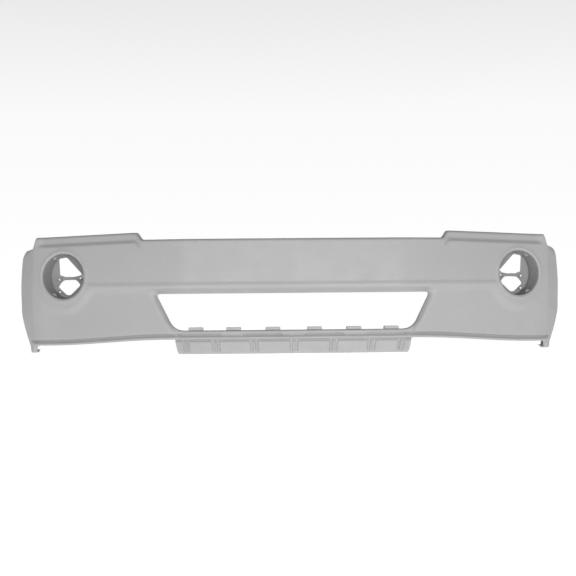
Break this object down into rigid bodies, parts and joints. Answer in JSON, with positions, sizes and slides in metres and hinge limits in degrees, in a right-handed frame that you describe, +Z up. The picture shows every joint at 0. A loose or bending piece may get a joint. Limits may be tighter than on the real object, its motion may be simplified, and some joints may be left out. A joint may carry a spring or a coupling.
{
  "type": "bumper cover",
  "caption": "Wrap-round front bumper cover in primed plastic with a trapezoidal lower grille opening, round fog-lamp pockets, headlamp flanges and a clipped-on ribbed lower valance.",
  "frame": {"origin": "middle of the footprint, on the ground under the valance's sole and the corner feet", "axes": "+X to the right seen from the front, the front faces -Y, +Z up"},
  "size_m": [1.8748, 0.4766, 0.4],
  "materials": {
    "primed_plastic": "light grey primer on moulded plastic, satin",
    "pocket_plastic": "light grey primer, slightly duller",
    "black_nylon": "black moulded nylon, fine grain",
    "zinc_steel": "zinc-plated steel"
  },
  "bodies": {
    "root": {"fascia_skin": "primed_plastic", "lower_valance": "primed_plastic", "fog_lamp_pocket_left": "pocket_plastic", "fog_lamp_carrier_left": "pocket_plastic", "lamp_insert_left_1": "zinc_steel", "pocket_screw_left_1": "zinc_steel", "lamp_insert_left_2": "zinc_steel", "pocket_screw_left_2": "zinc_steel", "lamp_insert_left_3": "zinc_steel", "pocket_screw_left_3": "zinc_steel", "side_retainer_left": "black_nylon", "side_screw_left_1": "zinc_steel", "side_screw_left_2": "zinc_steel", "corner_foot_left": "primed_plastic", "corner_screw_left": "zinc_steel", "fog_lamp_pocket_right": "pocket_plastic", "fog_lamp_carrier_right": "pocket_plastic", "lamp_insert_right_1": "zinc_steel", "pocket_screw_right_1": "zinc_steel", "lamp_insert_right_2": "zinc_steel", "pocket_screw_right_2": "zinc_steel", "lamp_insert_right_3": "zinc_steel", "pocket_screw_right_3": "zinc_steel", "side_retainer_right": "black_nylon", "side_screw_right_1": "zinc_steel", "side_screw_right_2": "zinc_steel", "corner_foot_right": "primed_plastic", "corner_screw_right": "zinc_steel", "push_rivet_body_1": "black_nylon", "push_rivet_body_2": "black_nylon", "push_rivet_body_3": "black_nylon"},
    "rivet_pin_1": {"push_rivet_pin_1": "black_nylon"},
    "rivet_pin_2": {"push_rivet_pin_2": "black_nylon"},
    "rivet_pin_3": {"push_rivet_pin_3": "black_nylon"}
  },
  "joints": [
    {"name": "rivet_release_1", "type": "slide", "parent": "root", "child": "rivet_pin_1", "axis": [0, 1, 0], "range_m": [0, 0.007]},
    {"name": "rivet_release_2", "type": "slide", "parent": "root", "child": "rivet_pin_2", "axis": [0, 1, 0], "range_m": [0, 0.007]},
    {"name": "rivet_release_3", "type": "slide", "parent": "root", "child": "rivet_pin_3", "axis": [0, 1, 0], "range_m": [0, 0.007]}
  ]
}
